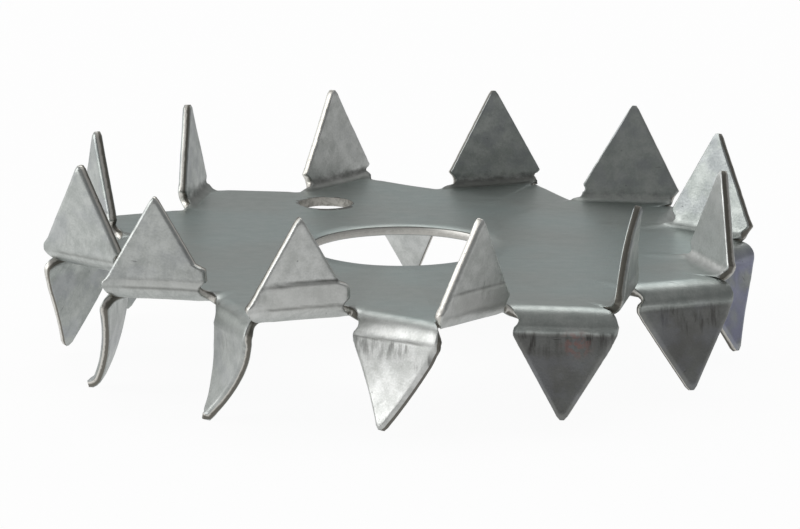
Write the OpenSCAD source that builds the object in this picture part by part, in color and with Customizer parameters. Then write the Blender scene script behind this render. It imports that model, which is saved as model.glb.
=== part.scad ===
// Round toothed-plate timber connector, cut and folded from one piece of zinc-plated sheet steel.
// A star-shaped plate with a bolt hole carries a ring of triangular teeth, folded alternately
// up and down. It lies between two timbers and bites into both as the bolt is drawn tight.
//
// Millimetres, +Z up. The origin is the centre of the bolt hole, half way through the sheet.
// Lower tooth 0 sits on +X, and the numbers run anticlockwise as seen from above.

/* [Plate] */

// Diameter over the outer corners of the star, on the mid-planes of the folded teeth
plate_d = 50.8; // [48:0.2:60]
// Thickness of the plated sheet
sheet_t = 0.65; // [0.5:0.05:0.9]
// Diameter of the central bolt hole
bolt_hole_d = 13; // [9:0.5:18]
// Diameter of the nail hole
nail_hole_d = 4; // [3:0.25:4.5]
// Distance of the nail hole from the centre
nail_hole_r = 15.7; // [14:0.1:16]

/* [Teeth] */

// How far each fold line is turned away from the tangent, in degrees
fold_skew = 36; // [33:0.5:38]
// Radius of the sheet's mid-plane in the fold
fold_r = 0.8; // [0.6:0.05:1]
// Length of a tooth along the sheet, from the start of its fold to its tip
tooth_len = 7.8; // [6:0.05:9]
// Height above the mid-plane at which a tooth is widest
ear_z = 1.35; // [1.1:0.05:1.6]
// Full width of a tooth there
ear_w = 7.2; // [6.8:0.05:7.4]
// Amount by which the side of a tooth is nipped in below its ear
nip = 0.5; // [0.2:0.05:0.7]
// Width of the blunt tip
tip_w = 0.5; // [0.2:0.05:0.8]

/* [Hidden] */

teeth = 12;                              // on each face
pitch = 360 / teeth;
nail_hole_turn = 3.75 * pitch;           // in line with the root of a slit
$fn = 48;

// How far each tooth leans outward from upright, in degrees, as the press left it
upper_lean = [10, 12, 6, 4, 3, 2, 5, 3, 6, 6, 8, 6];
lower_lean = [10, 8, 8, 8, 8, 8, 8, 3, 2, 7, 9, 8];
// Further outward turn at the tip, in degrees: some of the lower teeth curl like tusks
lower_curl = [5, 5, 5, 5, 5, 5, 10, 38, 44, 14, 3, 4];

// Fold lines: neighbours meet in turn at an outer corner and at an inner corner of the star
outer_turn = fold_skew + pitch / 4;      // from a fold's normal to its outer corner
inner_turn = fold_skew - pitch / 4;      // from a fold's normal to its inner corner
face_n = plate_d / 2 * cos(outer_turn);  // from the axis to the mid-plane of an upright tooth
fold_n = face_n - fold_r;                // from the axis to the start of the fold
tooth_s = face_n * (tan(outer_turn) + tan(inner_turn)) / 2 + 0.15;  // centre line, along the fold

fold_steps = 6;
face_steps = 8;
edge_steps = 4;
neck_z = 0.6;                            // height up to which a nipped side stays narrow
edge_bow = 0.06;                         // how far a tooth's long edges bulge
soft_edge_bow = 0.25;                    // the same, on the edge that has no nip
slit_root_d = 1.1;                       // round root of the slit at each inner corner
slit_root_r = fold_n / cos(inner_turn) + 0.3;
notch_root_d = 1.2;                      // round root of the notch at each outer corner
notch_root_r = fold_n / cos(outer_turn) + 0.9;
root_h = 1;                              // height over which those roots are cut
lap = 0.6;                               // how far a tooth's solid runs back into the plate
plate_n = fold_n - lap / 3;              // from the axis to an edge of the plate's star

function rad(degrees) = degrees * PI / 180;

// Length of sheet taken up by the fold of a tooth that leans by this much
function fold_len(lean) = fold_r * rad(90 - lean);

// Angle of the sheet from upright, at length u along a tooth
function tilt(u, lean, curl) =
    u < fold_len(lean)
        ? 90 - u / rad(fold_r)
        : lean + curl * pow((u - fold_len(lean)) / (tooth_len - fold_len(lean)), 2);

// Lengths along a tooth at which its section has a point
function stations(lean) = concat(
    [for (i = [0 : fold_steps]) fold_len(lean) * i / fold_steps],
    [for (i = [1 : face_steps])
        fold_len(lean) + (tooth_len - fold_len(lean)) * i / face_steps]);

// Mid-plane of a tooth as [outward, up] points, summed over its stations
function path(lean, curl) =
    let (
        u = stations(lean),
        steps = [for (i = [1 : len(u) - 1])
            let (a = tilt((u[i - 1] + u[i]) / 2, lean, curl))
            (u[i] - u[i - 1]) * [sin(a), cos(a)]]
    )
    [for (i = 0, p = [0, 0]; i < len(u); p = i < len(steps) ? p + steps[i] : p, i = i + 1) p];

// Section of the sheet across a fold, from inside the plate to the tip
module section(lean, curl) {
    u = stations(lean);
    mid = path(lean, curl);
    half = [for (x = u)
        let (a = tilt(x, lean, curl))
        sheet_t / 2 * [cos(a), -sin(a)]];
    polygon(concat(
        [[-lap, -sheet_t / 2]],
        [for (i = [0 : len(u) - 1]) mid[i] + half[i]],
        [for (i = [len(u) - 1 : -1 : 0]) mid[i] - half[i]],
        [[-lap, sheet_t / 2]]));
}

// One side of a tooth's outline, as [distance from the centre line, height] points going up
function side(nip, bow, tip_z) = concat(
    [[ear_w / 2 - nip, -1], [ear_w / 2 - nip, neck_z]],
    [for (f = [0 : 1 / edge_steps : 1])
        [ear_w / 2 + (tip_w - ear_w) / 2 * f + 4 * bow * f * (1 - f), ear_z + (tip_z - ear_z) * f]],
    [[tip_w / 2, tip_z + 1]]);

// Outline of a tooth seen square on, as [along the fold, up] points
module outline(inner_side, outer_side) {
    polygon(concat(
        [for (p = outer_side) [tooth_s + p[0], p[1]]],
        [for (i = [len(inner_side) - 1 : -1 : 0]) [tooth_s - inner_side[i][0], inner_side[i][1]]]));
}

// An upper tooth at azimuth 0: its section swept along the fold, trimmed to its outline
module tooth(lean, curl, outer_nip, outer_bow) {
    reach = tooth_len + lap;
    tip_z = path(lean, curl)[fold_steps + face_steps][1];
    rotate([0, 0, fold_skew])
        intersection() {
            translate([fold_n, -tooth_s + ear_w / 2 + 1, 0])
                rotate([90, 0, 0])
                    linear_extrude(ear_w + 2)
                        section(lean, curl);
            translate([fold_n + reach, 0, 0])
                rotate([90, 0, -90])
                    linear_extrude(reach + 2 * lap)
                        outline(side(nip, edge_bow, tip_z), side(outer_nip, outer_bow, tip_z));
        }
}

// The flat star between the folds, with both holes
module plate() {
    outer_r = plate_n / cos(outer_turn);
    inner_r = plate_n / cos(inner_turn);
    linear_extrude(sheet_t, center = true)
        difference() {
            polygon([for (i = [0 : 2 * teeth - 1])
                let (r = i % 2 == 0 ? outer_r : inner_r, a = pitch * (i + 0.5) / 2)
                r * [cos(a), sin(a)]]);
            circle(d = bolt_hole_d);
            rotate(nail_hole_turn)
                translate([nail_hole_r, 0])
                    circle(d = nail_hole_d);
        }
}

// Cutters for the rounded roots between neighbouring teeth
module corner_roots() {
    for (i = [0 : teeth - 1])
        rotate(pitch * (i + 0.25)) {
            translate([notch_root_r, 0, 0])
                cylinder(d = notch_root_d, h = root_h, center = true);
            rotate(pitch / 2)
                translate([slit_root_r, 0, 0])
                    cylinder(d = slit_root_d, h = root_h, center = true);
        }
}

module toothed_plate() {
    color([0.63, 0.66, 0.65])
        difference() {
            union() {
                plate();
                for (i = [0 : teeth - 1]) {
                    rotate(pitch * (i + 0.5))
                        tooth(upper_lean[i], 0, nip, edge_bow);
                    rotate(pitch * i)
                        rotate([180, 0, 0])
                            tooth(lower_lean[i], lower_curl[i], 0, soft_edge_bow);
                }
            }
            corner_roots();
        }
}

toothed_plate();
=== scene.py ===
"""Toothed timber connector: the folded sheet, its zinc finish, the floor, the lamps and the camera.

Geometry Nodes cut one flat blank and fold it. Each of the 24 teeth is a patch of sheet that
runs from the rim of the bolt hole to its own tip. Two neighbouring patches meet at a slit,
where the plate's outline turns inward, or at a notch, on an outer corner of the plate. Lengths
are in millimetres, scaled to metres at the end of the tree.
"""
import math

import bmesh
import bpy
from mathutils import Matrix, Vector


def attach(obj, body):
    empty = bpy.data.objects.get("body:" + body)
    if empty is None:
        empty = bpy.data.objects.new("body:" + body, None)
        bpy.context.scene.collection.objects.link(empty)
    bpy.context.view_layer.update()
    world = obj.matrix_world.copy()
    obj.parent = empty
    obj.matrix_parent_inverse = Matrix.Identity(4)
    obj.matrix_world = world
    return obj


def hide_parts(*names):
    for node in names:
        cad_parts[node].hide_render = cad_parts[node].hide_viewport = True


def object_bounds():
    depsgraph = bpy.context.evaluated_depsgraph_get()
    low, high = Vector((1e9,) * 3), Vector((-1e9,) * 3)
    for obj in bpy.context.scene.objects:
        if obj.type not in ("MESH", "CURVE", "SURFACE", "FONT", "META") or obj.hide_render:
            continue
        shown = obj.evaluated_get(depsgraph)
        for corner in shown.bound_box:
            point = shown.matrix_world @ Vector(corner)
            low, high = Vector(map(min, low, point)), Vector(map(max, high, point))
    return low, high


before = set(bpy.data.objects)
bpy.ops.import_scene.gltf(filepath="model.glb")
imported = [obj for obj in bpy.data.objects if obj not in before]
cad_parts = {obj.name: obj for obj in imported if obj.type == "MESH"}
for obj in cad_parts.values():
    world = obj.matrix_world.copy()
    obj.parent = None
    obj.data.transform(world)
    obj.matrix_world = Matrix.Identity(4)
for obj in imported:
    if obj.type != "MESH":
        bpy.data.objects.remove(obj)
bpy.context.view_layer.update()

MM = 0.001

# ---------------------------------------------------------------- sizes, in millimetres
TEETH = 12                       # on each face
PITCH = math.tau / TEETH
SHEET_T = 0.65                   # thickness
BOLT_HOLE_R = 6.5
NAIL_HOLE_R = 2.0
NAIL_HOLE_AT = (15.7, 3.75 * PITCH)      # distance from the axis, azimuth
FOLD_SKEW = math.radians(36)
FOLD_R = 1.15                    # of the sheet's mid-plane
OUTER_CORNER_R = 25.4            # on the mid-planes of the folded teeth
TOOTH_LEN = 7.95                 # along the sheet, from the start of the fold to the tip

# N is measured from the axis, square to a fold line, and S along the fold line.
OUTER_TURN = FOLD_SKEW + PITCH / 4
INNER_TURN = FOLD_SKEW - PITCH / 4
FACE_N = OUTER_CORNER_R * math.cos(OUTER_TURN)
FOLD_N = FACE_N - FOLD_R
OFF_MIDDLE = 0.15                # from the middle of the fold line to a tooth's centre line
TOOTH_S = FACE_N * (math.tan(OUTER_TURN) + math.tan(INNER_TURN)) / 2 + OFF_MIDDLE
SLIT_CORNER_R = FOLD_N / math.cos(INNER_TURN)
NOTCH_CORNER_R = FOLD_N / math.cos(OUTER_TURN)
SLIT_ROOT_R = 20.15
NOTCH_ROOT_R = 24.65

# Outline of a tooth: (length from the start of the fold, distance from the centre line)
UPPER_INNER_SIDE = [(0, 3.89), (0.45, 3.69), (0.85, 3.47), (1.15, 3.31), (1.38, 3.21), (1.57, 3.2),
                    (1.8, 3.37), (2.04, 3.59), (7.82, 0.25), (7.92, 0.17), (7.95, 0.12)]
UPPER_OUTER_SIDE = [(0, 2.35), (0.6, 2.85), (1.1, 3.1), (1.4, 3.2), (1.6, 3.4), (1.8, 3.56),
                    (7.82, 0.25), (7.92, 0.17), (7.95, 0.12)]
LOWER_INNER_SIDE = [(0, 3.89), (0.4, 3.69), (0.8, 3.5), (1.1, 3.3), (1.32, 3.22), (1.5, 3.35),
                    (1.66, 3.55), (1.95, 3.66), (2.25, 3.65), (2.6, 3.45), (7.55, 0.45),
                    (7.78, 0.33), (7.9, 0.21), (7.95, 0.13)]
LOWER_OUTER_SIDE = [(0, 2.35), (0.4, 2.95), (0.8, 3.45), (1.05, 3.6), (1.3, 3.62), (2.06, 3.53),
                    (3.2, 3.0), (5.2, 1.83), (7.5, 0.48), (7.75, 0.33), (7.89, 0.21), (7.95, 0.13)]
# what a square ear and a full corner add to a side, and what a slim inner side loses
SQUARE_EAR = [(0, 0), (1.7, 0), (1.9, 0.05), (2.2, 0.19), (2.6, 0.4), (2.85, 0.5), (2.95, 0.4),
              (3.1, 0), (9, 0)]
FULL_CORNER = [(0, 0), (0.5, 0.17), (0.85, 0.4), (1.13, 0.55), (1.4, 0.5), (1.6, 0.28), (1.8, 0.08),
               (2.1, 0), (9, 0)]
SLIM_SIDE = [(0, 0), (0.5, 0.5), (1.3, 1.0), (2.0, 1.3), (2.4, 1.2), (3.5, 0.55), (5.5, 0.05),
             (6, 0), (9, 0)]

SLIT_RISE = 0.09                 # of the plate's corners at the slits
RAGGED = 0.035                   # share of a tooth's width by which its sides wander
PLATE_WAVES, TOOTH_WAVES = 0.03, 0.11
ROLLED = 0.12                    # how far the sides of a tooth fall away on its outer face
ROUNDED = 0.07                   # how far each face draws in at a cut edge
WELD = 0.002                     # points closer than this become one
EASING_STEPS = 10                # passes that smooth the stretched metal between teeth
SHARP_ANGLE = math.radians(62)   # an edge that turns further is shaded sharp

# How the press left each tooth, from azimuth 0 anticlockwise. A tooth lists what is unusual.
USUAL_UPPER = {
    # degrees outward: lean of the whole tooth, curl of its outer part, hook of its tip
    "lean": 6, "curl": 0, "hook": 0,
    # length of the hook, and the straight share of the face
    "hooked": 0.7, "straight": 0.25,
    # how far the tip is moved towards the outer side, and how much longer the tooth is
    "shift": 0, "longer": 0,
    # shares of a square ear and a full corner on the inner side, a full corner on the outer
    # side, and a slim inner side
    "ear": 0, "flare": 0, "corner": 0, "slim": 0,
    # press band: its height, where it starts and ends along the tooth, the slope of its end,
    # and the darkness of the grooves at its start ("above") and its end ("below")
    "band": 0.03, "band_start": 1.6, "band_end": 2.5, "slope": 0, "above": 0.4, "below": 0.5,
    # rise of the fold line
    "lift": 0,
    # finish: darker below the fold, partly rubbed by the die and partly painted shade (below 0,
    # painted brighter, a painted reflection), dirt and painted shade in the fold, and the sheared
    # edge burnished and painted lighter (below 0, torn and painted darker)
    "rub_and_shade": 0, "dirt_and_shade": 0.5, "burnish_and_light": 0,
}
USUAL_LOWER = dict(USUAL_UPPER, lean=8, curl=5, band=0.04, band_end=1.8, above=0, below=0.4,
                   dirt_and_shade=0.2)
UPPER = [
    dict(lean=10, shift=-0.3, longer=0.12, dirt_and_shade=0.15, burnish_and_light=-0.4),
    dict(lean=12, longer=0.1, flare=0.9, dirt_and_shade=0.45),
    dict(shift=0.1, dirt_and_shade=0.9, burnish_and_light=-0.2),
    dict(lean=3, shift=-0.1, rub_and_shade=-0.8, dirt_and_shade=0.8, burnish_and_light=0.45),
    dict(lean=3, shift=-0.2, dirt_and_shade=0.7),
    dict(lean=2, shift=-0.2, dirt_and_shade=0.6),
    dict(lean=5, shift=-0.3, longer=0.05, corner=1, band=0.05, band_start=0.95, band_end=1.42,
         above=0.25, below=0.6, rub_and_shade=-0.3, burnish_and_light=0.1),
    dict(lean=3, shift=-0.1, longer=-0.12, ear=1, corner=1, band=0.035, band_start=1.45,
         band_end=2.0, above=0.65, below=0, lift=0.08, rub_and_shade=-0.45, burnish_and_light=0.2),
    dict(shift=0.05, longer=-0.12, ear=1, corner=1, band=0.1, band_end=3.2, slope=-0.02,
         above=0.8, below=1, lift=0.08, rub_and_shade=-0.85, burnish_and_light=0.2),
    dict(longer=-0.1, corner=1, band=0.05, band_start=1.45, band_end=2.95, above=0.15, below=0.6,
         lift=0.09, rub_and_shade=-0.8, burnish_and_light=0.9),
    dict(lean=5, curl=9, shift=0.9, longer=-0.15, corner=1, above=0.3, below=0.3, dirt_and_shade=0.3,
         burnish_and_light=-0.6),
    dict(shift=0.3, corner=0.5, above=0.3, below=0.3, rub_and_shade=-0.85, dirt_and_shade=0.3, burnish_and_light=-0.35),
]
LOWER = [
    dict(lean=9, curl=7, band_end=1.9, below=0.3, rub_and_shade=0.1),
    dict(shift=0.1, rub_and_shade=0.5),
    dict(lift=0.08, rub_and_shade=0.4),
    dict(lean=7, shift=-0.1, lift=0.12, rub_and_shade=-0.7),
    dict(curl=6, rub_and_shade=0.5),
    dict(lean=9, shift=0.1, rub_and_shade=0.3),
    dict(curl=9, shift=0.2, band=0.02, below=0.1, rub_and_shade=0.3, dirt_and_shade=0.3),
    dict(lean=0, curl=25.6, hook=55, hooked=1.1, straight=0, shift=-1.5, longer=0.85, slim=-0.3,
         band=0, below=0, rub_and_shade=0.25, dirt_and_shade=0.3, burnish_and_light=-0.2),
    dict(lean=-8, curl=40, hook=104, hooked=0.4, straight=0.09, shift=-1.48, longer=0.74, slim=1,
         band=0, below=0, rub_and_shade=-0.4, burnish_and_light=-0.3),
    dict(lean=6, curl=14, shift=-0.4, longer=0.15, band=0.05, band_start=1.5, slope=-0.03,
         above=0.05, below=0.5, rub_and_shade=-1, burnish_and_light=-0.7),
    dict(lean=9, curl=3, shift=-0.15, longer=0.05, band=0.06, band_start=1.55, band_end=2.05,
         below=0.45, rub_and_shade=1),
    dict(curl=4, shift=0.05, band=0.06, band_start=1.5, band_end=1.95, slope=0.02, below=0.35,
         rub_and_shade=1),
]
# Teeth are numbered by twice their place in the list, plus one for an upper tooth.
VIOLET_TOOTH = 0
RUSTY_TOOTH = 20
RUST_AT = (0.75, 2.75)           # across and along its tooth

# Rows and columns of a patch: rim to fold, fold, face; root, tooth, root
PLATE_ROWS, FOLD_ROWS, FACE_ROWS = 12, 12, 32
ROOT_COLUMNS, TOOTH_COLUMNS = 4, 20
ROWS = PLATE_ROWS + FOLD_ROWS + FACE_ROWS
COLUMNS = 2 * ROOT_COLUMNS + TOOTH_COLUMNS
# How many rows of the fold the web beside a tooth spans. The short one is for the outer side of
# a lower tooth, and of an upper tooth with a full corner.
INNER_WEB, OUTER_WEB, SHORT_OUTER_WEB = 8, 10, 2
# How far the plate's first row reaches, as a share of the way from the bolt hole to the fold.
# It is thin so that the finish of the hole's wall ends there.
RIM_ROW = 0.005

# ---------------------------------------------------------------- colours, linear
ZINC_DARK, ZINC_LIGHT = (0.335, 0.362, 0.348, 1), (0.475, 0.502, 0.482, 1)
# the plate's top: painted darker than the teeth, a painted shade, in grey and teal patches
PLATE_GREY, PLATE_TEAL = (0.292, 0.328, 0.312, 1), (0.30, 0.37, 0.362, 1)
# painted reflection: the lighter zinc of some teeth
BRIGHT_DARK, BRIGHT_LIGHT = (0.56, 0.575, 0.555, 1), (0.74, 0.75, 0.735, 1)
# below a tooth's fold: partly rubbed metal, partly painted shade
RUBBED_AND_SHADED_METAL = (0.165, 0.16, 0.155, 1)
DRAWN_MARK = (0.06, 0.056, 0.052, 1)
STAIN = (0.30, 0.31, 0.345, 1)
PRESSED_BAND = (0.62, 0.625, 0.60, 1)
VIOLET = (0.33, 0.34, 0.50, 1)
RUST = (0.36, 0.22, 0.20, 1)
# dirt and painted shade in the folds
FOLD_DIRT_AND_SHADE = (0.10, 0.10, 0.092, 1)
# dirt and painted shade in the grooves beside the press band
CREASE_LINE = (0.09, 0.088, 0.08, 1)
# painted shade round the bolt hole's rim, where its burr is
BURR_SHADE = (0.10, 0.095, 0.085, 1)
PIT = (0.13, 0.13, 0.13, 1)
# the sheared edge's two zones; each tooth's edge also leans towards one of them as painted light
# and shade
BURNISHED_EDGE, TORN_EDGE = (0.70, 0.685, 0.64, 1), (0.19, 0.182, 0.16, 1)
EDGE_GRIME, EDGE_PIT = (0.19, 0.17, 0.145, 1), (0.09, 0.08, 0.065, 1)
# the holes' walls, painted lighter for light that bounces inside them
BORE_DARK, BORE_LIGHT = (0.66, 0.65, 0.615, 1), (0.92, 0.91, 0.87, 1)
FLOOR_COLOR = (0.9, 0.9, 0.9, 1)
WHITE = (1.0, 1.0, 1.0, 1)


# ---------------------------------------------------------------- node building
class Field:
    """An output socket that builds Math nodes when it is used in arithmetic."""

    def __init__(self, tree, socket):
        self.tree, self.socket = tree, socket

    def __add__(self, other):
        return self.tree.math("ADD", self, other)

    def __sub__(self, other):
        return self.tree.math("SUBTRACT", self, other)

    def __mul__(self, other):
        return self.tree.math("MULTIPLY", self, other)

    def __truediv__(self, other):
        return self.tree.math("DIVIDE", self, other)

    def __rsub__(self, other):
        return self.tree.math("SUBTRACT", other, self)

    def __rtruediv__(self, other):
        return self.tree.math("DIVIDE", other, self)

    __radd__ = __add__
    __rmul__ = __mul__


class Tree:
    """Short calls for adding nodes to a node tree."""

    def __init__(self, tree):
        self.tree = tree

    @classmethod
    def group(cls, name, kind, inputs, outputs):
        made = cls(bpy.data.node_groups.new(name, kind))
        for in_out, sockets in (("INPUT", inputs), ("OUTPUT", outputs)):
            for socket_name, socket_type, *default in sockets:
                socket = made.tree.interface.new_socket(socket_name, in_out=in_out,
                                                        socket_type="NodeSocket" + socket_type)
                if default:
                    socket.default_value = default[0]
        made.start = made.tree.nodes.new("NodeGroupInput")
        made.end = made.tree.nodes.new("NodeGroupOutput")
        return made

    def put(self, socket, value):
        if isinstance(value, Field):
            self.tree.links.new(value.socket, socket)
        else:
            socket.default_value = value

    def add(self, kind, inputs=(), out=0, **settings):
        """Adds a node. inputs maps socket names or numbers to fields or values."""
        node = self.tree.nodes.new(kind)
        for name, value in settings.items():
            setattr(node, name, value)
        for key, value in dict(inputs).items():
            self.put(node.inputs[key], value)
        if isinstance(out, tuple):
            return tuple(Field(self, node.outputs[key]) for key in out)
        return Field(self, node.outputs[out])

    def math(self, operation, *values, clamp=False):
        node = self.tree.nodes.new("ShaderNodeMath")
        node.operation, node.use_clamp = operation, clamp
        for socket, value in zip(node.inputs, values):
            self.put(socket, value)
        return Field(self, node.outputs[0])

    def given(self, name):
        """An input of this group."""
        return Field(self, self.start.outputs[name])

    def give(self, **outputs):
        """Links the outputs of this group."""
        for name, value in outputs.items():
            self.put(self.end.inputs[name], value)

    def mix(self, factor, low, high):
        return low + (high - low) * factor

    def span(self, value, start, stop):
        """0 on one side of the span and 1 on the other, the side of stop."""
        return self.math("MULTIPLY", value - start, 1 / (stop - start), clamp=True)

    def smooth(self, value, start, stop, low=0.0, high=1.0):
        return self.add("ShaderNodeMapRange", {0: value, 1: start, 2: stop, 3: low, 4: high},
                        interpolation_type="SMOOTHSTEP")

    def vector(self, x, y, z):
        return self.add("ShaderNodeCombineXYZ", {0: x, 1: y, 2: z})

    def parts(self, vector):
        return self.add("ShaderNodeSeparateXYZ", {0: vector}, (0, 1, 2))

    def scaled(self, vector, factors):
        return self.add("ShaderNodeVectorMath", {0: vector, 1: factors}, operation="MULTIPLY")

    def length(self, vector):
        return self.add("ShaderNodeVectorMath", {0: vector}, "Value", operation="LENGTH")

    def noise(self, at, scale, detail=3, roughness=0.5):
        return self.add("ShaderNodeTexNoise", {"Vector": at, "Scale": scale, "Detail": detail,
                                               "Roughness": roughness})

    def curve(self, x, points):
        """A value read from straight lines through the points. Neither axis goes below 0."""
        widest, highest = points[-1][0], max(y for _, y in points)
        node = self.tree.nodes.new("ShaderNodeFloatCurve")
        self.put(node.inputs["Value"], x / widest)
        line = node.mapping.curves[0]
        while len(line.points) < len(points):
            line.points.new(0.5, 0.5)
        for point, (at, y) in zip(line.points, points):
            point.location = (at / widest, y / highest)
            point.handle_type = "VECTOR"
        node.mapping.update()
        return Field(self, node.outputs[0]) * highest


class Geometry(Tree):
    """Short calls for a geometry tree."""

    def attribute(self, name, data_type="FLOAT"):
        return self.add("GeometryNodeInputNamedAttribute", {"Name": name}, "Attribute",
                        data_type=data_type)

    def store(self, geometry, name, value, data_type="FLOAT", **inputs):
        return self.add("GeometryNodeStoreNamedAttribute",
                        {"Geometry": geometry, "Name": name, "Value": value, **inputs},
                        data_type=data_type, domain="POINT")

    def times(self, vector, factor):
        return self.add("ShaderNodeVectorMath", {"Vector": vector, "Scale": factor},
                        operation="SCALE")

    def move(self, geometry, offset, **inputs):
        return self.add("GeometryNodeSetPosition",
                        {"Geometry": geometry, "Offset": offset, **inputs})

    def paint(self, geometry, material, **inputs):
        return self.add("GeometryNodeSetMaterial",
                        {"Geometry": geometry, "Material": material, **inputs})

    def weld(self, geometry):
        return self.add("GeometryNodeMergeByDistance", {"Geometry": geometry, "Distance": WELD})


class Shading(Tree):
    """Short calls for a material's tree."""

    def attribute(self, name, out="Fac"):
        return self.add("ShaderNodeAttribute", (), out, attribute_name=name)

    def blend(self, factor, low, high):
        """A mix of two colours, which the Mix node takes in inputs 6 and 7."""
        return self.add("ShaderNodeMix", {0: factor, 6: low, 7: high}, 2, data_type="RGBA")


# ---------------------------------------------------------------- the folded sheet's node tree
def arc_group():
    """A node group that carries a point on along an arc. Angles are from upright, outward."""
    arc = Geometry.group("Arc of sheet", "GeometryNodeTree",
                         [("Length", "Float"), ("Angle", "Float"), ("Curvature", "Float")],
                         [("Outward", "Float"), ("Up", "Float"), ("Turned", "Float")])
    start = arc.given("Angle")
    curvature = arc.given("Curvature") + 1e-5        # never quite 0, because it is divided by
    turned = start + arc.given("Length") * curvature
    arc.give(Outward=(arc.math("COSINE", start) - arc.math("COSINE", turned)) / curvature,
             Up=(arc.math("SINE", turned) - arc.math("SINE", start)) / curvature,
             Turned=turned)
    return arc.tree


def flat_patches(t):
    """One flat grid, placed once for each tooth, whose points know their row and column."""
    grid, grid_uv = t.add("GeometryNodeMeshGrid",
                          {"Vertices X": COLUMNS + 1, "Vertices Y": ROWS + 1}, (0, 1))
    uv = t.parts(grid_uv)
    grid = t.store(grid, "column", t.math("ROUND", uv[0] * COLUMNS))
    grid = t.store(grid, "row", t.math("ROUND", uv[1] * ROWS))
    patches = t.add("GeometryNodeInstanceOnPoints", {"Points": t.given("Teeth"), "Instance": grid})
    return t.add("GeometryNodeRealizeInstances", {0: patches})


def tooth_sides(t, along, share, is_upper):
    """How far the inner and the outer side of a tooth are from its centre line."""
    inner = t.mix(is_upper, t.curve(share, LOWER_INNER_SIDE), t.curve(share, UPPER_INNER_SIDE))
    inner = inner + t.curve(along, SQUARE_EAR) * t.attribute("ear")
    inner = inner + t.curve(along, FULL_CORNER) * t.attribute("flare")
    inner = inner - t.curve(along, SLIM_SIDE) * t.attribute("slim")
    outer = t.mix(is_upper, t.curve(share, LOWER_OUTER_SIDE), t.curve(share, UPPER_OUTER_SIDE))
    outer = outer + t.curve(along, FULL_CORNER) * t.attribute("corner")
    return inner, outer


def tooth_section(t, along, fold_len, face_len):
    """Where a point of the folded tooth is, square to its fold line: outward and up.

    The section is a fold, a straight stretch, a gentle curl and a hook at the tip.
    """
    hooked = t.attribute("hooked")
    straight = face_len * t.attribute("straight")
    curled = face_len - straight - hooked
    arc = arc_group()
    outward, up, angle, rest = t.given("Fold start"), 0, math.pi / 2, along
    for length, curvature in ((fold_len, -1 / t.given("Fold radius")), (straight, 0),
                              (curled, t.attribute("curl") / curled),
                              (hooked, t.attribute("hook") / hooked)):
        done = t.math("MINIMUM", rest, length)
        step_out, step_up, angle = t.add(
            "GeometryNodeGroup", {"Length": done, "Angle": angle, "Curvature": curvature},
            ("Outward", "Up", "Turned"), node_tree=arc)
        outward, up, rest = outward + step_out, step_up + up, rest - done
    return outward, up


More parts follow.
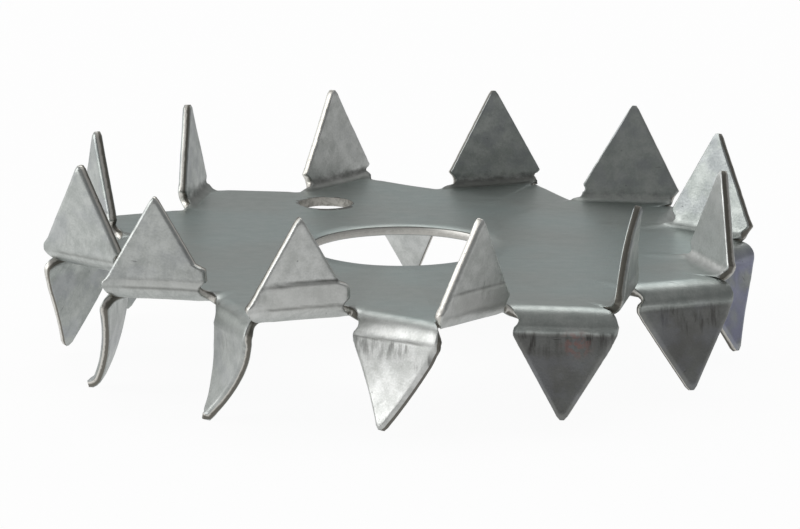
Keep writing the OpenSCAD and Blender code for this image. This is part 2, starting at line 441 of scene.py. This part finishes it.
def folded_patches(t, patches):
    """Moves every point of the patches to its place in the folded sheet, and trims the webs."""
    column, row = t.attribute("column"), t.attribute("row")
    azimuth, side, number = t.attribute("azimuth"), t.attribute("side"), t.attribute("number")
    is_upper = t.math("GREATER_THAN", side, 0)
    centre, fold_n = t.given("Tooth centre"), t.given("Fold start")

    # along the sheet: even rows in the fold, rows that widen to the tip on the face
    tooth_len = t.given("Tooth length") + t.attribute("longer")
    fold_len = t.given("Fold radius") * (math.pi / 2 - t.attribute("lean"))
    face_len = tooth_len - fold_len
    in_plate = t.math("MAXIMUM", t.span(row, 1, PLATE_ROWS), t.span(row, 0, 1) * RIM_ROW)
    in_fold = t.span(row, PLATE_ROWS, PLATE_ROWS + FOLD_ROWS)
    in_face = t.math("POWER", t.span(row, PLATE_ROWS + FOLD_ROWS, ROWS), 1.35)
    along = in_fold * fold_len + in_face * face_len

    # across the sheet: from the inner side to the outer side of the tooth, with the columns
    # closer together near its sides, except at the tip
    across = t.span(column, ROOT_COLUMNS, ROOT_COLUMNS + TOOTH_COLUMNS)
    across = across - t.math("SINE", across * math.tau) * t.smooth(in_face, 0.4, 0.9, 0.125, 0)
    inner_side, outer_side = tooth_sides(t, along, along * TOOTH_LEN / tooth_len, is_upper)
    from_edge = t.math("MINIMUM", across, 1 - across) * (inner_side + outer_side)
    ragged = t.noise(t.vector(along * 2.2, number * 7, across * 9), 1, 2) - 0.5
    tip_shift = t.attribute("shift") * t.span(along, 1.7, TOOTH_LEN)
    from_centre = t.mix(across, 0 - inner_side, outer_side)
    s = centre + tip_shift + from_centre * (1 + ragged * RAGGED)
    outward, up = tooth_section(t, along, fold_len, face_len)

    # in plan: a point of the tooth, or of the flat blank before it is folded
    normal_azimuth = azimuth + side * FOLD_SKEW
    inner_azimuth = azimuth + side * (PITCH / 4)
    outer_azimuth = azimuth - side * (PITCH / 4)
    cos, sin = t.math("COSINE", normal_azimuth), t.math("SINE", normal_azimuth)

    def placed(n, along_fold):
        return n * cos + along_fold * sin * side, n * sin - along_fold * cos * side

    def turned(radius, at):
        return radius * t.math("COSINE", at), radius * t.math("SINE", at)

    # between a tooth's sides and its neighbours' the sheet is stretched into a web, which
    # ends at a root: a slit root on the inner side and a notch root on the outer one
    to_inner = t.span(column * -1, -ROOT_COLUMNS, 0)
    to_outer = t.span(column, ROOT_COLUMNS + TOOTH_COLUMNS, COLUMNS)
    off_tooth = t.math("MAXIMUM", to_inner, to_outer)
    full = t.attribute("full")
    roots = []
    for rows, corner_r, root_r, at in (
            (INNER_WEB, SLIT_CORNER_R, t.given("Slit root"), inner_azimuth),
            (t.mix(full, OUTER_WEB, SHORT_OUTER_WEB), NOTCH_CORNER_R, t.given("Notch root"),
             outer_azimuth)):
        to_root = t.math("MULTIPLY", in_fold * FOLD_ROWS, 1 / rows, clamp=True)
        roots.append(turned(t.mix(to_root, corner_r, root_r), at))
    rim = turned(t.given("Bolt hole radius"), t.mix(column / COLUMNS, inner_azimuth, outer_azimuth))

    def with_web(point):
        flat = []
        for axis in (0, 1):
            edge = t.mix(to_inner, point[axis], roots[0][axis])
            edge = t.mix(to_outer, edge, roots[1][axis])
            flat.append(t.mix(in_plate, rim[axis], edge))
        return flat

    folded = with_web(placed(outward, s))
    blank = with_web(placed(fold_n + along, s))
    mid_patch = column * 2 / COLUMNS - 1
    bow = 1 - mid_patch * mid_patch
    lift = t.attribute("lift") * in_plate * in_plate * (bow * bow)
    level = up * (1 - off_tooth * off_tooth) + lift

    def distance_to(corner):
        return t.length(t.vector(folded[0] - corner[0], folded[1] - corner[1], 0))

    near_slit = distance_to(turned(SLIT_CORNER_R, inner_azimuth))
    near_notch = distance_to(turned(NOTCH_CORNER_R, outer_azimuth))

    # how much the metal is stretched: in the webs, beside them, and round both corners
    stretched = t.math("MAXIMUM", t.smooth(off_tooth, 0, 0.15),
                       t.smooth(from_edge, 0, 0.35, 0.6, 0))
    stretched = stretched * t.smooth(row, PLATE_ROWS - 2.5, PLATE_ROWS)
    stretched = t.math("MAXIMUM", stretched, t.smooth(near_slit, 0.5, 1.5, 1, 0))
    stretched = t.math("MAXIMUM", stretched, t.smooth(near_notch, 0.3, 1.0, 1, 0))
    stretched = stretched * t.smooth(along, 1.0, 1.45, 1, 0)

    patches = t.store(patches, "along", along)
    patches = t.store(patches, "across", s - centre)
    patches = t.store(patches, "from_edge", from_edge)
    patches = t.store(patches, "stretched", stretched)
    patches = t.store(patches, "bore", t.math("LESS_THAN", row, 0.5))
    patches = t.store(patches, "blank", t.vector(blank[0], blank[1], 0), "FLOAT_VECTOR")
    height = level * side + t.smooth(near_slit, 0, 1.4, SLIT_RISE, 0)
    patches = t.add("GeometryNodeSetPosition", {
        "Geometry": patches, "Position": t.vector(folded[0], folded[1], height)})

    outer_web = t.mix(is_upper * (1 - full), SHORT_OUTER_WEB, OUTER_WEB)
    off_inner = (t.math("LESS_THAN", column, ROOT_COLUMNS)
                 * t.math("GREATER_THAN", row - PLATE_ROWS, INNER_WEB))
    off_outer = (t.math("GREATER_THAN", column, ROOT_COLUMNS + TOOTH_COLUMNS)
                 * t.math("GREATER_THAN", row - PLATE_ROWS, outer_web))
    patches = t.add("GeometryNodeDeleteGeometry",
                    {"Geometry": patches, "Selection": off_inner + off_outer}, domain="FACE")
    patches = t.add("GeometryNodeFlipFaces",
                    {"Mesh": patches, "Selection": t.math("LESS_THAN", side, 0)})
    return t.weld(patches)


def eased_patches(t, patches):
    """Lets the stretched metal between a tooth and its neighbours flow smoothly."""
    eased = t.add("GeometryNodeBlurAttribute",
                  {"Value": t.add("GeometryNodeInputPosition"), "Iterations": EASING_STEPS,
                   "Weight": t.attribute("stretched")}, data_type="FLOAT_VECTOR")
    return t.add("GeometryNodeSetPosition", {"Geometry": patches, "Position": eased})


def pressed_patches(t, patches):
    """Makes the sheet a little wavy, and works out the relief that the die left beside a fold."""
    patches = t.store(patches, "top", t.add("GeometryNodeInputNormal"), "FLOAT_VECTOR")
    top, blank = t.attribute("top", "FLOAT_VECTOR"), t.attribute("blank", "FLOAT_VECTOR")
    along, across = t.attribute("along"), t.attribute("across")
    waves = t.noise(t.scaled(blank, (0.16, 0.16, 1)), 1, 2) - 0.5
    waves = waves * t.mix(t.span(along, 0, 1.5), PLATE_WAVES, TOOTH_WAVES)
    patches = t.move(patches, t.times(top, waves))

    start = t.attribute("band_start") + (t.noise(across, 0.9, 1) - 0.5) * 0.1
    end = t.attribute("band_end") + t.attribute("slope") * across
    end = end + (t.noise(across, 1.3, 1) - 0.5) * 0.14
    fade = t.smooth(t.math("ABSOLUTE", across + 0.8), 2.6, 3.4, 1, 0.3)

    def line(at, darkness):
        """A groove across the tooth."""
        return t.smooth(t.math("ABSOLUTE", along - at), 0.02, 0.12, 1, 0) * t.attribute(darkness)

    crease = t.math("MAXIMUM", line(start, "above"), line(end + 0.05, "below")) * fade
    pressed = t.smooth(along, 1.2, 1.6) * t.smooth(along, end - 0.06, end + 0.06, 1, 0) * fade
    roll = t.smooth(t.attribute("from_edge"), 0, 0.35, 1, 0) * t.span(along, 1.5, 2.2)
    patches = t.store(patches, "crease", crease)
    patches = t.store(patches, "pressed", pressed)
    relief = (pressed - crease * 0.5) * t.attribute("band") - roll * roll * ROLLED
    patches = t.store(patches, "relief", relief)
    around = t.add("GeometryNodeInputMeshVertexNeighbors", (), (0, 1))
    on_rim = t.math("GREATER_THAN", around[0] - around[1], 0.5)      # more edges than faces
    return t.store(patches, "rounded", on_rim * ROUNDED)


def thick_sheet(t, patches):
    """The two faces of the sheet, and its sheared edge between them."""
    half = t.given("Sheet thickness") / 2
    top = t.attribute("top", "FLOAT_VECTOR")
    relief, rounded = t.attribute("relief"), t.attribute("rounded")
    is_upper = t.math("GREATER_THAN", t.attribute("side"), 0)
    # the relief is on a tooth's outer face, which on an upper tooth is part of the low skin
    top_skin = t.move(t.store(patches, "facing", 1.0),
                      t.times(top, half + relief * (1 - is_upper) - rounded))
    low_skin = t.move(t.store(patches, "facing", -1.0),
                      t.times(top, (half + relief * is_upper - rounded) * -1))
    low_skin = t.add("GeometryNodeFlipFaces", {"Mesh": low_skin})
    skins = t.tree.nodes.new("GeometryNodeJoinGeometry")
    for skin in (top_skin, low_skin):
        t.tree.links.new(skin.socket, skins.inputs[0])
    skins = t.paint(Field(t, skins.outputs[0]), t.given("Skin"))

    # the top skin's cut edges grow a wall, which is then drawn down to the low skin
    cut = t.add("FunctionNodeCompare", {2: t.add("GeometryNodeInputMeshEdgeNeighbors"), 3: 1},
                data_type="INT", operation="EQUAL")
    cut_above = t.add("FunctionNodeBooleanMath", {
        0: cut, 1: t.math("GREATER_THAN", t.attribute("facing"), 0)}, operation="AND")
    sheet, new_edge, new_face = t.add(
        "GeometryNodeExtrudeMesh", {"Mesh": skins, "Selection": cut_above, "Offset Scale": 0.0},
        (0, 1, 2), mode="EDGES")
    drop = t.times(top, (half * 2 + relief - rounded * 2) * -1)
    sheet = t.move(sheet, drop, Selection=new_edge)
    sheet = t.store(sheet, "facing", -1.0, Selection=new_edge)
    sheet = t.paint(sheet, t.given("Sheared edge"), Selection=new_face)
    return t.weld(sheet)


def folded_sheet_tree():
    """Cuts and folds the sheet. The incoming points each carry one tooth's settings."""
    t = Geometry.group("Folded sheet", "GeometryNodeTree",
                       [("Teeth", "Geometry"), ("Sheet thickness", "Float"),
                        ("Fold radius", "Float"), ("Fold start", "Float"),
                        ("Tooth length", "Float"), ("Tooth centre", "Float"),
                        ("Bolt hole radius", "Float"), ("Slit root", "Float"),
                        ("Notch root", "Float"), ("Skin", "Material"),
                        ("Sheared edge", "Material")],
                       [("Sheet", "Geometry")])
    patches = folded_patches(t, flat_patches(t))
    patches = pressed_patches(t, eased_patches(t, patches))
    sheet = thick_sheet(t, patches)
    t.give(Sheet=t.add("GeometryNodeTransform", {"Geometry": sheet, "Scale": (MM, MM, MM)}))
    return t.tree


# ---------------------------------------------------------------- the sheet
def linked(name, mesh):
    obj = bpy.data.objects.new(name, mesh)
    bpy.context.scene.collection.objects.link(obj)
    return obj


def baked(obj, name):
    """A plain mesh object from an object's evaluated modifiers."""
    bpy.context.view_layer.update()
    graph = bpy.context.evaluated_depsgraph_get()
    mesh = bpy.data.meshes.new_from_object(obj.evaluated_get(graph), preserve_all_data_layers=True,
                                           depsgraph=graph)
    bpy.data.objects.remove(obj)
    return linked(name, mesh)


def store_on_points(mesh, name, values):
    mesh.attributes.new(name, "FLOAT", "POINT").data.foreach_set("value", values)


def tooth_points():
    """A mesh of one point for each tooth, with its settings as attributes."""
    mesh = bpy.data.meshes.new("teeth")
    mesh.from_pydata([(0, 0, 0)] * (2 * TEETH), [], [])
    teeth = []
    for side, usual, table in ((-1, USUAL_LOWER, LOWER), (1, USUAL_UPPER, UPPER)):
        for i, unusual in enumerate(table):
            tooth = dict(usual, **unusual)
            for name in ("lean", "curl", "hook"):
                tooth[name] = math.radians(tooth[name])
            tooth["azimuth"] = PITCH * (i if side < 0 else i + 0.5)
            tooth["side"] = side
            tooth["number"] = 2 * i + (side > 0)
            # the upper tooth's full corner also shapes the web of the lower tooth at its notch
            tooth["full"] = UPPER[i].get("corner", 0)
            teeth.append(tooth)
    for name in teeth[0]:
        store_on_points(mesh, name, [tooth[name] for tooth in teeth])
    return linked("teeth", mesh)


def nail_hole_cutter(edge):
    mesh = bpy.data.meshes.new("nail_hole")
    bm = bmesh.new()
    bmesh.ops.create_cone(bm, cap_ends=True, segments=64, radius1=NAIL_HOLE_R * MM,
                          radius2=NAIL_HOLE_R * MM, depth=4 * MM)
    distance, azimuth = NAIL_HOLE_AT
    place = Vector((math.cos(azimuth), math.sin(azimuth), 0)) * distance * MM
    bmesh.ops.translate(bm, verts=bm.verts, vec=place)
    bm.to_mesh(mesh)
    bm.free()
    mesh.materials.append(edge)
    store_on_points(mesh, "bore", [1.0] * len(mesh.vertices))
    return linked("nail_hole", mesh)


def folded_sheet(skin, edge):
    source = tooth_points()
    fold = source.modifiers.new("Folded sheet", "NODES")
    fold.node_group = folded_sheet_tree()
    sizes = {"Sheet thickness": SHEET_T, "Fold radius": FOLD_R, "Fold start": FOLD_N,
             "Tooth length": TOOTH_LEN, "Tooth centre": TOOTH_S, "Bolt hole radius": BOLT_HOLE_R,
             "Slit root": SLIT_ROOT_R, "Notch root": NOTCH_ROOT_R, "Skin": skin,
             "Sheared edge": edge}
    for item in fold.node_group.interface.items_tree:
        if item.name in sizes:
            fold[item.identifier] = sizes[item.name]
    sheet = baked(source, "folded")

    bm = bmesh.new()
    bm.from_mesh(sheet.data)
    bmesh.ops.recalc_face_normals(bm, faces=bm.faces)
    bm.to_mesh(sheet.data)
    bm.free()
    cutter = nail_hole_cutter(edge)
    punch = sheet.modifiers.new("Nail hole", "BOOLEAN")
    punch.object, punch.operation, punch.solver = cutter, "DIFFERENCE", "EXACT"
    punch.material_mode = "TRANSFER"
    sheet = baked(sheet, "punched")
    bpy.data.objects.remove(cutter)
    sheet.data.polygons.foreach_set("use_smooth", [True] * len(sheet.data.polygons))
    sheet.data.set_sharp_from_angle(angle=SHARP_ANGLE)
    sheet.modifiers.new("Flat faces stay flat", "WEIGHTED_NORMAL").keep_sharp = True
    return baked(sheet, "toothed_sheet")


# ---------------------------------------------------------------- materials
def rolled_zinc_group():
    """Fine rolling lines along X of the flat blank, over cloudy, finely grained zinc."""
    g = Tree.group("Rolled zinc", "ShaderNodeTree", [("At", "Vector"), ("Rolled", "Float", 1.0)],
                   [("Tone", "Float"), ("Height", "Float")])
    at, rolled = g.given("At"), g.given("Rolled")
    clouds = g.noise(at, 0.8, 4, 0.6)
    grain = g.noise(at, 6.5, 3, 0.6)
    lines = g.noise(g.scaled(at, (0.35, 9, 1)), 1, 4, 0.6)
    broad = g.noise(g.scaled(at, (0.12, 1.6, 1)), 1, 2, 0.5)
    mottle = clouds * 0.68 + grain * 0.32
    g.give(Tone=g.mix(rolled * 0.55, mottle, lines * 0.45 + broad * 0.55),
           Height=g.mix(rolled * 0.5, grain, lines))
    return g.tree


def specks_group():
    """Small dark pits and short scratches, scattered. Amount is the share of the cells used."""
    g = Tree.group("Specks", "ShaderNodeTree", [("At", "Vector"), ("Amount", "Float", 0.5)],
                   [("Mask", "Float")])
    at, amount = g.given("At"), g.given("Amount")

    def dots(place, scale, reach):
        distance, tint = g.add("ShaderNodeTexVoronoi", {"Vector": place, "Scale": scale},
                               ("Distance", "Color"))
        return g.smooth(distance, 0.02, reach, 1, 0), g.parts(tint)

    pit, chance = dots(at, 1.1, 0.10)
    pit = pit * g.math("LESS_THAN", chance[0], amount)
    scratch, chance = dots(g.scaled(at, (0.28, 1.6, 1)), 0.8, 0.09)
    scratch = scratch * g.math("LESS_THAN", chance[1], amount * 0.8)
    g.give(Mask=g.math("MAXIMUM", pit, scratch))
    return g.tree


def drawn_group():
    """Marks that the die drew down the outside of a tooth, strongest just below its fold."""
    g = Tree.group("Drawn marks", "ShaderNodeTree",
                   [("Across", "Float"), ("Along", "Float"), ("Number", "Float")],
                   [("Streaks", "Float"), ("Rubbed", "Float")])
    across, along, number = g.given("Across"), g.given("Along"), g.given("Number")
    fine = g.noise(g.vector(across * 2.6, along * 0.5, number * 3), 1, 3, 0.6)
    patchy = g.noise(g.vector(across * 0.5, along * 0.35, number * 2), 1, 1, 0.5)
    reach = g.noise(g.vector(across * 1.7, number * 5, 0), 1, 2, 0.7) * 3.4 + 1.0
    here = g.smooth(along, 1.8, 2.1) * (1 - g.smooth(along - reach, 0, 1.2))
    # the second output is the area below the fold that is darkened, partly for the die's rub and
    # partly as painted shade
    g.give(Streaks=g.smooth(fine, 0.42, 0.66) * here * g.smooth(patchy, 0.35, 0.6),
           Rubbed=g.smooth(along, 1.95, 2.25) * (0.75 + 0.25 * g.smooth(patchy, 0.3, 0.7)))
    return g.tree


def metal(name):
    """A new metal material: its tree, and its Principled shader."""
    material = bpy.data.materials.new(name)
    material.use_nodes = True
    t = Shading(material.node_tree)
    shader = t.tree.nodes["Principled BSDF"]
    shader.inputs["Metallic"].default_value = 1.0
    return material, t, shader


def zinc_skin(groups):
    """Both faces of the sheet. Patterns follow the flat blank, in millimetres."""
    material, t, shader = metal("zinc_plate")
    blank = t.attribute("blank", "Vector")
    along, across, number = t.attribute("along"), t.attribute("across"), t.attribute("number")
    side, facing, crease = t.attribute("side"), t.attribute("facing"), t.attribute("crease")
    outer = t.math("GREATER_THAN", side * facing * -1, 0)        # a tooth's outer face
    upper, lower = t.math("GREATER_THAN", side, 0), t.math("LESS_THAN", side, 0)
    top = t.math("GREATER_THAN", facing, 0)
    rub_and_shade = t.math("MULTIPLY", t.attribute("rub_and_shade"), 1, clamp=True)
    painted_sheen = t.math("MULTIPLY", t.attribute("rub_and_shade"), -1, clamp=True)

    tone, height = t.add("ShaderNodeGroup", {"At": blank, "Rolled": t.span(along, 1.2, 0.2) * 0.5},
                         ("Tone", "Height"), node_tree=groups["rolled"])
    pits = t.add("ShaderNodeGroup", {"At": blank, "Amount": 0.35}, node_tree=groups["specks"])
    streaks, rubbed_and_shaded = t.add("ShaderNodeGroup",
                            {"Across": across, "Along": along, "Number": number},
                            ("Streaks", "Rubbed"), node_tree=groups["drawn"])

    # the zinc: cloudy; on top of the plate darker and tinted, a painted shade; brighter on some
    # teeth, a painted reflection
    cloud = t.smooth(tone, 0.34, 0.66)
    color = t.blend(cloud, ZINC_DARK, ZINC_LIGHT)
    # painted shade: the plate's top is painted darker than the teeth
    on_plate = t.smooth(along, 0.0, 1.0, 1, 0) * top
    tint = t.blend(t.smooth(t.noise(blank, 0.09, 2, 0.5), 0.38, 0.62), PLATE_GREY, PLATE_TEAL)
    color = t.blend(on_plate * 0.6, color, tint)
    # painted reflection: a tooth set below 0 is painted brighter, for the light it mirrors
    color = t.blend(painted_sheen * t.smooth(along, 0.1, 1.4), color,
                    t.blend(cloud, BRIGHT_DARK, BRIGHT_LIGHT))

    # what the die and handling left, with painted shade where the die's rub darkens a tooth
    # painted shade: below the fold a tooth is painted darker, partly rubbed by the die, partly
    # painted shade
    color = t.blend(rubbed_and_shaded * rub_and_shade * 0.8, color, RUBBED_AND_SHADED_METAL)
    drawn = streaks * outer * (rub_and_shade * 0.7 + painted_sheen * lower * 0.45 + 0.15)
    color = t.blend(drawn, color, DRAWN_MARK)
    stained = t.smooth(t.noise(blank, 0.45, 3, 0.6), 0.45, 0.62) * t.smooth(along, 1.4, 2.4)
    color = t.blend(stained * (1 - painted_sheen) * 0.35, color, STAIN)
    color = t.blend(t.attribute("pressed") * outer * upper * 0.42, color, PRESSED_BAND)
    violet = (t.math("COMPARE", number, VIOLET_TOOTH, 0.5) * outer * t.smooth(along, 0.6, 2.2)
              * t.smooth(t.noise(blank, 0.5, 2), 0.35, 0.6))
    color = t.blend(violet * 0.7, color, VIOLET)
    from_rust = t.length(t.vector((across - RUST_AT[0]) * 0.9, along - RUST_AT[1], 0))
    rusty = (t.math("COMPARE", number, RUSTY_TOOTH, 0.5) * outer
             * t.smooth(from_rust, 0.3, 1.3, 1, 0)
             * t.smooth(t.noise(blank, 2.4, 3, 0.6), 0.42, 0.6))
    color = t.blend(rusty * 0.75, color, RUST)

    # dirt and painted shade inside the fold, dirt and painted shade in the lines beside the press
    # band, painted shade round the bolt hole's rim at its burr, and pits
    ragged = (t.noise(blank, 1.6, 3, 0.6) - 0.5) * 1.2
    # painted shade: the inside of the fold is darkened, partly dirt, partly painted shade
    fold_dirt_and_shade = t.smooth(along + ragged, -0.6, 0.2) * t.smooth(along + ragged, 1.0, 2.0, 1, 0)
    fold_dirt_and_shade = fold_dirt_and_shade * t.smooth(along, 0.02, 0.3) * t.attribute("dirt_and_shade") * (1 - outer)
    color = t.blend(fold_dirt_and_shade * 0.85, color, FOLD_DIRT_AND_SHADE)
    # the grooves beside the press band: partly dirt, partly painted shade
    color = t.blend(crease * outer * 0.75, color, CREASE_LINE)
    # painted shade: a dark line round the bolt hole's rim, where the burr is
    from_bore = t.length(blank) - BOLT_HOLE_R
    burr_and_shade = t.smooth(from_bore + ragged * 0.08, 0.0, 0.16, 1, 0) * top
    color = t.blend(burr_and_shade * 0.8, color, BURR_SHADE)
    color = t.blend(pits * 0.5, color, PIT)

    roughness = t.smooth(tone, 0.3, 0.7, 0.42, 0.33) + (crease * outer + fold_dirt_and_shade) * 0.2
    bump = t.add("ShaderNodeBump",
                 {"Strength": 0.35, "Distance": 0.03 * MM,
                  "Height": height - pits * 0.8 + streaks * outer * 0.9})
    t.put(shader.inputs["Base Color"], color)
    t.put(shader.inputs["Roughness"], roughness + painted_sheen * lower * 0.03)
    t.put(shader.inputs["Normal"], bump)
    return material


def sheared_edge(groups):
    """Burnished where the punch first cut, dull and pitted where the sheet then tore; painted
    lighter or darker on each tooth as painted light and shade.
    """
    material, t, shader = metal("sheared_edge")
    at = t.add("ShaderNodeTexCoord", (), "Object")
    at = t.scaled(at, (1 / MM, 1 / MM, 1 / MM))
    rough = t.noise(at, 2.6, 4, 0.65)
    bore = t.attribute("bore")
    outward = t.mix(bore, t.attribute("side") * -1, 1)
    burnished_and_lit = t.attribute("facing") * outward + (rough - 0.5) * 1.1
    # painted light and shade: each tooth's edge is pushed towards the lighter, burnished colour
    # above 0 and the darker, torn colour below 0, for the way it faces the lamps
    burnished_and_lit = burnished_and_lit + t.attribute("burnish_and_light") * (1 - bore) * 1.6
    torn_and_shaded = t.smooth(burnished_and_lit, -0.35, 0.35, 1, 0)
    pits = t.add("ShaderNodeGroup", {"At": t.scaled(at, (1.7, 1.7, 1.7)), "Amount": 0.5},
                 node_tree=groups["specks"])
    color = t.blend(torn_and_shaded, BURNISHED_EDGE, TORN_EDGE)
    color = t.blend(t.smooth(rough, 0.55, 0.75) * 0.5, color, EDGE_GRIME)
    color = t.blend(pits * 0.6, color, EDGE_PIT)
    # painted light: the holes' walls are painted much lighter than the other cut edges, for light
    # that bounces inside them
    color = t.blend(bore * 0.8, color, t.blend(rough, BORE_DARK, BORE_LIGHT))
    bump = t.add("ShaderNodeBump", {"Strength": 0.5, "Distance": 0.04 * MM,
                                    "Height": rough * torn_and_shaded + pits * -0.6})
    t.put(shader.inputs["Base Color"], color)
    t.put(shader.inputs["Roughness"], t.mix(torn_and_shaded, 0.36, 0.5) + bore * 0.12)
    t.put(shader.inputs["Normal"], bump)
    return material


# ---------------------------------------------------------------- camera and light
CAMERA_DISTANCE = 0.430          # metres
CAMERA_ELEVATION = math.radians(12.483)
CAMERA_TURN = math.radians(1.681)
PICTURE_W = 800
FOCAL_PX = 5997
AIM_PX = (1.18, -14.35)          # where the hole's centre lies from the picture's centre
FLOOR_HALF = 3                   # metres


def add_camera():
    data = bpy.data.cameras.new("camera")
    data.sensor_width = 36
    data.lens = FOCAL_PX / PICTURE_W * data.sensor_width
    data.shift_x = -AIM_PX[0] / PICTURE_W
    data.shift_y = AIM_PX[1] / PICTURE_W
    data.clip_start = 0.01
    camera = bpy.data.objects.new("camera", data)
    level = CAMERA_DISTANCE * math.cos(CAMERA_ELEVATION)
    camera.location = (level * math.sin(CAMERA_TURN), -level * math.cos(CAMERA_TURN),
                       CAMERA_DISTANCE * math.sin(CAMERA_ELEVATION))
    camera.rotation_euler = (math.pi / 2 - CAMERA_ELEVATION, 0, CAMERA_TURN)
    bpy.context.scene.collection.objects.link(camera)
    bpy.context.scene.camera = camera


def floor_material():
    """A pale matt floor, almost white to the camera. The metal mirrors it as a dimmer glow."""
    material = bpy.data.materials.new("pale_floor")
    material.use_nodes = True
    t = Shading(material.node_tree)
    shader = t.tree.nodes["Principled BSDF"]
    shader.inputs["Base Color"].default_value = FLOOR_COLOR
    shader.inputs["Roughness"].default_value = 0.9
    seen, in_mirror, through = t.add("ShaderNodeLightPath", (), (
        "Is Camera Ray", "Is Glossy Ray", "Is Transmission Ray"))
    x, y, _ = t.parts(t.add("ShaderNodeTexCoord", (), "Object"))
    # painted light: the floor's glow that the metal mirrors is strongest on the left and behind,
    # dimmer on the right
    mirrored = (t.smooth(x, -0.01, 0.03, 0.77, 0.6)
                + t.smooth(x * -1, -0.01, 0.03, 0, 0.22) * t.smooth(y, -0.03, 0))
    share = t.math("MAXIMUM", seen * 0.95, t.math("MAXIMUM", in_mirror, through) * 0.9)
    glow = t.add("ShaderNodeEmission", {"Color": WHITE, "Strength": t.mix(seen, mirrored, 1.0)})
    mixed = t.add("ShaderNodeMixShader", {0: share, 1: Field(t, shader.outputs[0]), 2: glow})
    t.put(t.tree.nodes["Material Output"].inputs["Surface"], mixed)
    return material


def add_floor():
    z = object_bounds()[0][2]
    mesh = bpy.data.meshes.new("floor")
    corners = [(x * FLOOR_HALF, y * FLOOR_HALF, z) for x, y in ((-1, -1), (1, -1), (1, 1), (-1, 1))]
    mesh.from_pydata(corners, [], [(0, 1, 2, 3)])
    mesh.materials.append(floor_material())
    floor = linked("floor", mesh)


def add_softbox(name, azimuth, elevation, distance, size, radiance):
    """An area lamp that looks at the connector. radiance is what a mirror would show."""
    data = bpy.data.lights.new(name, "AREA")
    data.shape = "RECTANGLE"
    data.size, data.size_y = size
    data.energy = radiance * math.pi * size[0] * size[1]
    lamp = bpy.data.objects.new(name, data)
    azimuth, elevation = math.radians(azimuth), math.radians(elevation)
    away = Vector((math.cos(elevation) * math.cos(azimuth), math.cos(elevation) * math.sin(azimuth),
                   math.sin(elevation)))
    lamp.location = away * distance
    lamp.rotation_euler = away.to_track_quat("Z", "Y").to_euler()
    lamp.visible_camera = False
    bpy.context.scene.collection.objects.link(lamp)


def add_light():
    """A grey studio, palest on the left and a little paler behind, with two softboxes."""
    world = bpy.data.worlds.new("studio")
    bpy.context.scene.world = world
    world.use_nodes = True
    t = Tree(world.node_tree)
    x, y, z = t.parts(t.add("ShaderNodeTexCoord", (), "Generated"))
    left = t.smooth(x * -1, 0.05, 0.85) * t.smooth(y, -0.75, -0.1)
    back = t.smooth(y, 0.0, 0.9)
    shade = 0.24 + left * 0.6 + back * 0.16
    overhead = 0.34
    shade = t.mix(t.smooth(z, 0.3, 0.9), shade, overhead)
    t.put(t.tree.nodes["Background"].inputs["Color"], t.vector(shade, shade, shade))
    add_softbox("top_softbox", azimuth=78, elevation=60, distance=0.7, size=(0.75, 0.48),
                radiance=1.6)
    add_softbox("left_softbox", azimuth=186, elevation=21, distance=0.6, size=(0.42, 0.66),
                radiance=1.75)


bpy.context.scene.view_settings.view_transform = "Standard"
add_camera()
add_light()
groups = {"rolled": rolled_zinc_group(), "specks": specks_group(), "drawn": drawn_group()}
sheet = folded_sheet(zinc_skin(groups), sheared_edge(groups))
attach(sheet, "root")
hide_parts("toothed_plate")
add_floor()
